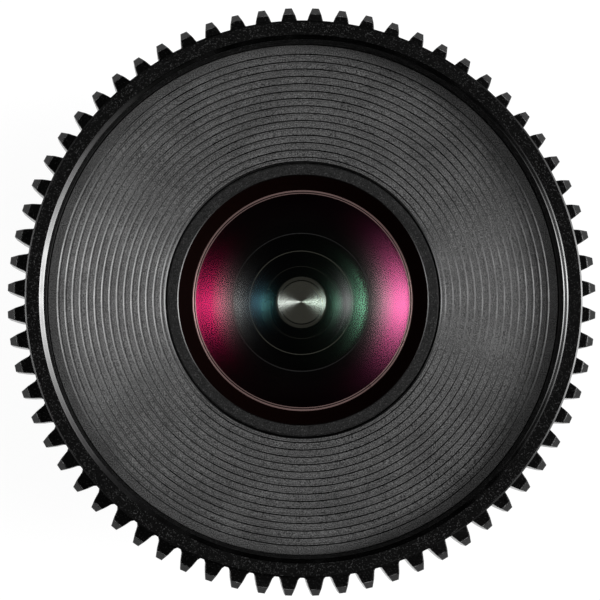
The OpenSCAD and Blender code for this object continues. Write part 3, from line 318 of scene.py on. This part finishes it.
BLADE = blasted("blade_black", grey(0.006), grey(0.012), roughness=0.38, grain_mm=0.30,
                depth_mm=0.004, specular=0.4)
STEEL = turned_metal("screw_steel", grey(0.34), grey(0.16), roughness=0.30, pitch_mm=0.10,
                     depth_mm=0.006)
MOUNT = turned_metal("mount_steel", grey(0.40), grey(0.27), roughness=0.26, pitch_mm=0.14,
                     depth_mm=0.010)
BRASS = turned_metal("brass", rgb(0.50, 0.33, 0.10), rgb(0.30, 0.18, 0.05), roughness=0.30,
                     pitch_mm=0.12, depth_mm=0.006)
CUT_EDGE = turned_metal("cut_groove", grey(0.052), grey(0.040), roughness=0.28, pitch_mm=0.10,
                        depth_mm=0.002)
CUT_WALL = blasted("cut_wall", grey(0.030), grey(0.085), roughness=0.25, grain_mm=0.10,
                   depth_mm=0.002, specular=0.16)
BEVEL = turned_metal("satin_bevel", grey(0.064), grey(0.050), roughness=0.22, pitch_mm=0.10,
                     depth_mm=0.001)
BEVEL_EDGE = turned_metal("bevel_edge", grey(0.120), grey(0.095), roughness=0.15, pitch_mm=0.10,
                          depth_mm=0.001)
# Painted glow for the thin bright line at the second glass's edge
EDGE_PAINTED_GLOW = blasted("edge_painted_glow", grey(0.02), grey(0.05), roughness=0.40, grain_mm=0.10, depth_mm=0.004,
                   glow=grey(0.010))
# Ground glass edge: pale, with a pink tint that is a painted reflection of the magenta coat
GROUND_EDGE = turned_metal("ground_edge", rgb(0.40, 0.26, 0.245), rgb(0.25, 0.17, 0.16), roughness=0.30,
                           pitch_mm=0.10, depth_mm=0.002, metallic=0.65)
RED = enamel("red_enamel", rgb(0.60, 0.012, 0.012), rgb(0.42, 0.006, 0.006))
WHITE = enamel("white_fill", grey(0.78), grey(0.66))
# Tints of the cone: painted brighter on the left than on the right, a painted difference in its reflection
# of the soft boxes
BOW_TIE = (rgb(0.92, 1.0, 0.92), rgb(0.38, 0.46, 0.39))
# Painted glow of the open pupil and of two thin inner rings: (inner radius, outer radius, level)
PAINTED_PUPIL_GLOW = [(0.0, 2.03, 0.042), (2.13, 2.46, 0.028), (3.43, 3.48, 0.016), (4.93, 5.0, 0.055)]
# Coats: each has a left and a right tint, a painted difference between the reflections on the two sides of
# the glass
COAT_FRONT = coating("coat_front", rgb(0.345, 0.013, 0.073), rgb(0.345, 0.066, 0.160), alpha=0.20,
                     hub=(rgb(0.175, 0.150, 0.148), rgb(0.165, 0.150, 0.142), 6.4, 8.8))
COAT_HOLLOW = coating("coat_hollow", rgb(0.030, 0.092, 0.125), rgb(0.012, 0.020, 0.016), alpha=0.133,
                      hub=(rgb(0.030, 0.092, 0.125), rgb(0.120, 0.115, 0.120), 4.4, 5.0))
COAT_SECOND = coating("coat_second", rgb(0.088, 0.104, 0.106), rgb(0.150, 0.410, 0.250), alpha=0.20,
                      cone=BOW_TIE)
COAT_INNER = coating("coat_inner", rgb(0.055, 0.190, 0.165), rgb(0.072, 0.210, 0.135), alpha=0.133,
                     painted_glow=PAINTED_PUPIL_GLOW)
COAT_DARK = coating("coat_dark", rgb(0.02, 0.03, 0.05), rgb(0.03, 0.03, 0.02), alpha=0.04)
COAT_REAR = coating("coat_rear", rgb(0.36, 0.20, 0.50), rgb(0.50, 0.36, 0.12), alpha=0.20, roughness=0.08)
# Dark slope of the glass ring; its faint red tint is a painted reflection of the magenta coat
SLOPE_PAINTED_REFLECTION = blasted("ring_slope_painted_reflection", rgb(0.0018, 0.0003, 0.0002), rgb(0.0034, 0.0007, 0.0005), roughness=0.6,
                grain_mm=0.12, depth_mm=0.008, specular=0.02)


# Meshes

def filleted(corners):
    """Outline with every corner (radius, height, fillet) rounded by its fillet."""
    out = []
    for i, (r, z, fillet) in enumerate(corners):
        here = Vector((r, z))
        if fillet <= 0:
            out.append((r, z))
            continue
        back = (Vector(corners[i - 1][:2]) - here).normalized()
        ahead = (Vector(corners[(i + 1) % len(corners)][:2]) - here).normalized()
        half = back.angle(ahead) / 2
        centre = here + (back + ahead).normalized() * fillet / math.sin(half)
        start = here + back * fillet / math.tan(half) - centre
        end = here + ahead * fillet / math.tan(half) - centre
        first = math.atan2(start.y, start.x)
        sweep = (math.atan2(end.y, end.x) - first + math.pi) % (2 * math.pi) - math.pi
        for k in range(FILLET_STEPS + 1):
            angle = first + sweep * k / FILLET_STEPS
            out.append((centre.x + fillet * math.cos(angle), centre.y + fillet * math.sin(angle)))
    return out


def mesh_piece(name, bm, materials, body):
    """Puts a mesh in the scene, smooth but for its sharp edges, riding on a body."""
    mesh = bpy.data.meshes.new(name)
    bm.to_mesh(mesh)
    bm.free()
    for material in materials:
        mesh.materials.append(material)
    mesh.polygons.foreach_set("use_smooth", [True] * len(mesh.polygons))
    mesh.set_sharp_from_angle(angle=SHARP_ANGLE)
    piece = bpy.data.objects.new(name, mesh)
    bpy.context.scene.collection.objects.link(piece)
    weighted = piece.modifiers.new("weighted_normals", "WEIGHTED_NORMAL")
    weighted.keep_sharp = True
    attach(piece, body)
    return piece


def ring_of(bm, r, z):
    """A circle of vertices about the axis, or one vertex on it."""
    if r < 1e-6:
        return [bm.verts.new((0, 0, z * MM))]
    turn = 2 * math.pi / SEGMENTS
    return [bm.verts.new((r * MM * math.cos(k * turn), r * MM * math.sin(k * turn), z * MM))
            for k in range(SEGMENTS)]


def bridge(bm, low, high, material_index):
    """Faces between two rings of vertices."""
    count = max(len(low), len(high))
    for k in range(count):
        ahead = k + 1
        corners = [low[k % len(low)], low[ahead % len(low)], high[ahead % len(high)], high[k % len(high)]]
        face = bm.faces.new(list(dict.fromkeys(corners)))
        face.material_index = material_index


def turned(name, outline, materials, body, closed=True, paint=None):
    """Turns an outline of (radius, height) about the axis; paint gives each stretch its material."""
    bm = bmesh.new()
    rings = [ring_of(bm, r, z) for r, z in outline]
    stretches = len(rings) if closed else len(rings) - 1
    for i in range(stretches):
        bridge(bm, rings[i], rings[(i + 1) % len(rings)], paint[i] if paint else 0)
    bmesh.ops.recalc_face_normals(bm, faces=bm.faces)
    return mesh_piece(name, bm, materials, body)


# Front ring, baffle and retaining ring

def filter_ring():
    """Front ring with rounded edges, a satin bevel and the turns of the filter thread."""
    web, outer, back, front, seat = 18.57, 26.12, 47.3, 54.0, 49.4
    crest, root, relief, thread_floor = 24.095, 24.5, 24.395, 51.4
    outside = filleted([(web, seat, 0), (web, back, 0), (25.86, back, 0), (outer, 47.52, 0.04),
                        (outer, 53.94, 0)])
    face = [(25.98, front), (24.78, front)]
    bevel = [(24.67, 53.959), (24.45, 53.832), (24.36, 53.798)]
    thread = [(crest, 53.25), (root, 53.0), (crest, 52.75), (crest, 52.5), (root, 52.25), (crest, 52.0),
              (crest, thread_floor), (relief, thread_floor), (relief, seat)]
    materials = [RIM_BLACK, BEVEL, CUT_EDGE, BARREL, BEVEL_EDGE]
    rim, satin, cut, barrel, edge = range(len(materials))
    paint = [barrel] * (len(outside) - 1) + [cut, rim, edge, satin, edge] + [rim] * (len(thread) + 1)
    piece = turned("front_ring", outside + face + bevel + thread, materials, "optical_block",
                   paint=paint)
    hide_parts("filter_ring")


def front_baffle():
    """Dished ring with concentric grooves, each with a bright flank outside and a dull wall inside."""
    bore, outer, top, bed, dish, chamfer, lip = 13.0, 24.045, 51.3, 49.43, 0.6, 0.06, 0.12
    grooves, groove_out, pitch = 15, 23.10, 0.692
    flank, bottom, wall, depth = 0.11, 0.10, 0.06, 0.047
    materials = [CHARCOAL, CUT_EDGE, MARGIN, CUT_WALL]
    charcoal, bright, margin, dull = range(len(materials))
    inner_top = top - dish
    slope = dish / (groove_out - bore)
    outline = [(bore, inner_top - 0.05), (bore, bed), (outer, bed), (outer, top - chamfer),
               (outer - chamfer, top)]
    paint = [charcoal] * 3 + [margin] * 2
    for i in range(grooves):
        r = groove_out - i * pitch
        z = min(top, inner_top + (r - bore) * slope)
        outline += [(r + flank, z), (r, z - depth), (r - bottom, z - depth), (r - bottom - wall, z)]
        paint += [bright, charcoal, dull, charcoal]
    outline += [(bore + lip, inner_top)]
    paint += [bright]
    piece = turned("baffle", outline, materials, "optical_block", paint=paint)
    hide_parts("front_baffle")


def retaining_ring():
    """Ring round the front glass: charcoal face, bright outer edge of the slope and a dark slope whose faint
    red tint is a painted reflection of the magenta coat.
    """
    bore, step, outer, seat, shelf, front = 10.47, 11.6, 12.9, 48.8, 49.4, 50.55
    face = filleted([(bore, seat, 0), (step, seat, 0), (step, shelf, 0), (outer, shelf, 0),
                     (outer, 50.4, 0.05), (12.75, front, 0.05), (11.86, front, 0)])
    slope = [(11.77, 50.512), (bore, 48.95)]
    materials = [RING_DARK, SLOPE_PAINTED_REFLECTION, CUT_EDGE]
    charcoal, dark, bright = range(len(materials))
    paint = [dark] + [charcoal] * (len(face) - 2) + [bright, dark, dark]
    piece = turned("glass_ring", face + slope, materials, "optical_block", paint=paint)
    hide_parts("front_retaining_ring")


# Glass

def on_sphere(curve, vertex, r):
    """Point of a spherical surface at this radius from the axis."""
    return (r, vertex - (curve - math.sqrt(curve * curve - r * r)))


def dome(curve, vertex, edge):
    """Points of a spherical surface from its edge to its vertex."""
    return [on_sphere(curve, vertex, edge * (1 - k / DOME_STEPS)) for k in range(DOME_STEPS + 1)]


def front_glass():
    """Domed front element: coated dome, two ground edge lines whose pink is partly a painted reflection of
    the magenta coat, black edge, coated hollow.
    """
    curve, vertex, hollow_edge, rim, back, lift = 24.0, 51.2, 7.6, 10.6, 44.479, 0.002
    edge = [(hollow_edge, back), (rim, back), (rim, 48.5)]
    inner_r, inner_z = on_sphere(curve, vertex, 10.12)
    lines = [(10.46, 48.825), on_sphere(curve, vertex, 10.30), on_sphere(curve, vertex, 10.21),
             (inner_r, inner_z + lift)]
    top = dome(curve, vertex, 10.10)
    materials = [COAT_FRONT, GROUND_EDGE, INNER]
    coat, ground, black = range(len(materials))
    paint = [black] * len(edge) + [ground, coat, ground, coat] + [coat] * len(top)
    piece = turned("front_glass", edge + lines + top, materials, "optical_block",
                   closed=False, paint=paint)
    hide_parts("front_element")
    turned("front_glass_hollow", dome(11.5, 49.6, hollow_edge), [COAT_HOLLOW], "optical_block",
           closed=False)


def second_glass():
    """Second element; the thin bright line at its ground edge is a painted glow."""
    top = dome(SECOND_CURVE, 45.4, 6.5)
    edge_z = top[0][1]
    rim = [(6.65, 41.2), (6.65, edge_z - 0.1), (6.56, edge_z)]
    materials = [COAT_SECOND, INNER, EDGE_PAINTED_GLOW]
    coat, black, bright = range(len(materials))
    piece = turned("second_glass", rim + top, materials, "optical_block",
                   closed=False, paint=[black, bright, black] + [coat] * len(top))
    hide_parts("second_element")
    # its coat carries the painted glow of the open pupil and of the inner rings
    turned("second_glass_hollow", dome(9.7, 44.2, 5.0), [COAT_INNER], "optical_block",
           closed=False)


def inner_lens(name, nodes, curve, vertex, edge, low):
    """A dark coated dome with a black edge wall down to the height low."""
    top = dome(curve, vertex, edge)
    materials = [COAT_DARK, INNER]
    coat, black = range(len(materials))
    piece = turned(name, [(edge, low)] + top, materials, "optical_block",
                   closed=False, paint=[black] + [coat] * len(top))
    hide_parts(*nodes)


def inner_lenses():
    """The elements behind the second one whose front is seen, the last of them behind the iris."""
    inner_lens("third_glass", ["third_element"], 30.0, 40.76, 5.85, 38.3)
    inner_lens("fourth_glass", ["fourth_element"], 14.0, 35.19, 5.25, 33.0)
    inner_lens("fifth_glass", ["fifth_element", "sixth_element"], 10.4, 31.39, 5.25, 26.0)
    inner_lens("seventh_glass", ["seventh_element"], 12.0, 20.0, 5.4, 16.0)


# Scale marks

def wrap(name, flat_mesh, radius, angle_deg, height, body):
    """Bends a flat mesh in the XY plane round the barrel: x runs round it, y runs forwards."""
    bm = bmesh.new()
    bm.from_mesh(flat_mesh)
    bpy.data.meshes.remove(flat_mesh)
    lifted = (radius + PAINT_LIFT) * MM
    for vert in bm.verts:
        turn = math.radians(angle_deg) + vert.co.x / lifted
        out = lifted + vert.co.z
        vert.co = (out * math.cos(turn), out * math.sin(turn), height * MM + vert.co.y)
    bmesh.ops.recalc_face_normals(bm, faces=bm.faces)
    mesh_piece(name, bm, [WHITE], body)


def label(name, words, size, radius, angle_deg, height, body):
    """A number filled with white paint on a scale band."""
    curve = bpy.data.curves.new(name + "_curve", "FONT")
    curve.body = words
    curve.size = size * MM
    curve.extrude = PAINT_THICK / 2 * MM
    curve.align_x = "CENTER"
    curve.align_y = "CENTER"
    flat = bpy.data.objects.new(name + "_flat", curve)
    bpy.context.scene.collection.objects.link(flat)
    bpy.context.view_layer.update()
    mesh = bpy.data.meshes.new_from_object(flat.evaluated_get(bpy.context.evaluated_depsgraph_get()))
    bpy.data.objects.remove(flat)
    wrap(name, mesh, radius, angle_deg, height, body)


def tick(name, width, low, high, radius, angle_deg, body):
    """A painted line on a scale band."""
    bm = bmesh.new()
    bmesh.ops.create_cube(bm, size=1.0)
    for vert in bm.verts:
        vert.co = (vert.co.x * width * MM, vert.co.y * (high - low) * MM, vert.co.z * PAINT_THICK * MM)
    bmesh.ops.bevel(bm, geom=bm.edges[:], offset=PAINT_ROUND * MM, segments=2, affect="EDGES")
    mesh = bpy.data.meshes.new(name + "_flat")
    bm.to_mesh(mesh)
    bm.free()
    wrap(name, mesh, radius, angle_deg, (low + high) / 2, body)


def focus_scale():
    """Distances in metres round the focus band; the far mark stands at the index line."""
    focal, throw, travel = 14.0, 140.0, 0.8
    size, middle, low, high, far_high = 1.9, 33.0, 30.5, 31.5, 33.8
    for words in ("0.26", "0.3", "0.4", "0.5", "0.7", "1", "2", "5"):
        distance = float(words) * 1000
        turn = throw * min(1.0, focal * focal / (distance - focal) / travel)
        key = "focus_" + words.replace(".", "_")
        label(key, words, size, FOCUS_BAND_R, INDEX_ANGLE - turn, middle, "focus_ring")
        tick(key + "_tick", TICK_WIDTH, low, high, FOCUS_BAND_R, INDEX_ANGLE - turn, "focus_ring")
    tick("focus_far_tick", TICK_WIDTH, low, far_high, FOCUS_BAND_R, INDEX_ANGLE, "focus_ring")


def iris_scale():
    """Stops round the iris band; the open stop stands at the index line."""
    open_r, closed_r, throw, open_stop = 2.4, 0.5, 60.0, 2.8
    size, middle, low, high = 1.8, 22.6, 24.0, 25.3
    for words in ("2.8", "4", "5.6", "8", "11"):
        opening = open_r * open_stop / float(words)
        turn = throw * (open_r - opening) / (open_r - closed_r)
        key = "iris_" + words.replace(".", "_")
        label(key, words, size, IRIS_BAND_R, INDEX_ANGLE - turn, middle, "iris_ring")
        tick(key + "_tick", TICK_WIDTH, low, high, IRIS_BAND_R, INDEX_ANGLE - turn, "iris_ring")


def index_line():
    """The fixed line that both scales are read against."""
    width, low, high = 0.22, 26.4, 29.6
    tick("index_line", width, low, high, FOCUS_BAND_R, INDEX_ANGLE, "barrel")


# Carried-over nodes

FINISHES = {"black_anodised": BARREL, "matt_black_inner": INNER, "charcoal_blasted": CHARCOAL,
            "screw_steel": STEEL, "mount_steel": MOUNT, "brass": BRASS, "red_enamel": RED,
            "blade_black": BLADE, "coated_front_glass": COAT_FRONT, "coated_inner_glass": COAT_REAR}


def dress_nodes():
    """Gives every CAD node the material of its slot in the record."""
    for part in frame["record"]["subparts"]:
        node = frame["nodes"][part["node"]]
        node.data.materials.clear()
        finish = GEAR_BLACK if part["node"] == "focus_gear_ring" else FINISHES[part["material_slot"]]
        node.data.materials.append(finish)


# Floor, light and camera

def floor_material():
    """Plain white for the light; for the eye and in mirrors a white glow that keeps the shadow."""
    material, tree = new_tree("floor_white")
    material.cycles.emission_sampling = "NONE"
    path = add(tree, "ShaderNodeLightPath").outputs
    seen = math_node(tree, "MAXIMUM", path["Is Camera Ray"], path["Is Glossy Ray"])
    seen = math_node(tree, "MAXIMUM", seen, path["Is Transmission Ray"])
    plain = add(tree, "ShaderNodeBsdfDiffuse", {"Color": grey(FLOOR_MATT)}).outputs[0]
    glow = add(tree, "ShaderNodeEmission", {"Color": grey(1.0), "Strength": FLOOR_GLOW}).outputs[0]
    shadowed = add(tree, "ShaderNodeBsdfDiffuse", {"Color": grey(FLOOR_SHADOW)}).outputs[0]
    bright = add(tree, "ShaderNodeAddShader", {0: glow, 1: shadowed}).outputs[0]
    surface = add(tree, "ShaderNodeMixShader", {0: seen, 1: plain, 2: bright}).outputs[0]
    add(tree, "ShaderNodeOutputMaterial", {"Surface": surface})
    return material


def floor():
    """White floor under the lens."""
    bm = bmesh.new()
    bmesh.ops.create_circle(bm, cap_ends=True, segments=64, radius=FLOOR_R)
    mesh = bpy.data.meshes.new("floor")
    bm.to_mesh(mesh)
    bm.free()
    mesh.materials.append(floor_material())
    plane = bpy.data.objects.new("floor", mesh)
    plane.location.z = FLOOR_Z * MM
    bpy.context.scene.collection.objects.link(plane)


def soft_box(tree, parts, side, fade_in, fade_out, spread, peak):
    """Level of a soft box at one side of the sky, fading with the angle off the axis and round it."""
    inner, full, full_end, outer = (math.radians(angle) for angle in fade_in + fade_out)
    polar = math_node(tree, "ARCCOSINE", parts[2])
    rise = remap(tree, polar, inner, full, smooth=True)
    fade = remap(tree, polar, full_end, outer, peak, 0.0, smooth=True)
    across = math_node(tree, "MULTIPLY", parts[0], side)
    turn = math_node(tree, "ABSOLUTE", math_node(tree, "ARCTAN2", parts[1], across))
    fall = math_node(tree, "POWER", math_node(tree, "DIVIDE", turn, math.radians(spread)), 1.5)
    around = math_node(tree, "POWER", math.exp(-1.0), fall)
    return math_node(tree, "MULTIPLY", math_node(tree, "MULTIPLY", rise, fade), around)


def sky():
    """White horizon, a sky that is dark in mirrors and fills matt surfaces, and two soft boxes.

    Only traced rays meet the horizon, so that the light's own samples all go to the soft boxes.
    """
    world = bpy.data.worlds.new("studio")
    bpy.context.scene.world = world
    world.use_nodes = True
    tree = world.node_tree
    tree.nodes.clear()
    direction = add(tree, "ShaderNodeTexCoord").outputs["Generated"]
    parts = add(tree, "ShaderNodeSeparateXYZ", {0: direction}).outputs
    path = add(tree, "ShaderNodeLightPath").outputs
    overhead = remap(tree, path["Is Diffuse Ray"], 0.0, 1.0, OVERHEAD_MIRRORED, OVERHEAD_MATT)
    traced = path["Is Camera Ray"]
    for kind in ("Is Diffuse Ray", "Is Glossy Ray", "Is Transmission Ray"):
        traced = math_node(tree, "MAXIMUM", traced, path[kind])
    horizon = remap(tree, parts[2], *HORIZON_FADE, 1.0, 0.0, smooth=True)
    level = math_node(tree, "MAXIMUM", math_node(tree, "MULTIPLY", horizon, traced), overhead)
    lamps = math_node(tree, "ADD", soft_box(tree, parts, **LEFT_BOX), soft_box(tree, parts, **RIGHT_BOX))
    unseen = math_node(tree, "SUBTRACT", 1.0, path["Is Camera Ray"])
    level = math_node(tree, "ADD", level, math_node(tree, "MULTIPLY", lamps, unseen))
    glow = add(tree, "ShaderNodeBackground", {"Color": grey(1.0), "Strength": level}).outputs[0]
    add(tree, "ShaderNodeOutputWorld", {"Surface": glow})


def camera():
    """Long lens straight over the front of the object, a little off its axis."""
    data = bpy.data.cameras.new("camera")
    data.sensor_width = CAMERA_SENSOR
    data.lens = CAMERA_LENS
    data.clip_start = 0.01
    cam = bpy.data.objects.new("camera", data)
    target = Vector(CAMERA_TARGET) * MM
    cam.location = Vector(CAMERA_AT) * MM
    back = (cam.location - target).normalized()
    right = Vector((0, 1, 0)).cross(back).normalized()
    cam.rotation_euler = Matrix((right, back.cross(right), back)).transposed().to_euler()
    bpy.context.scene.collection.objects.link(cam)
    bpy.context.scene.camera = cam


dress_nodes()
filter_ring()
front_baffle()
retaining_ring()
front_glass()
second_glass()
inner_lenses()
focus_scale()
iris_scale()
index_line()
floor()
sky()
camera()
bpy.context.scene.view_settings.view_transform = "Standard"
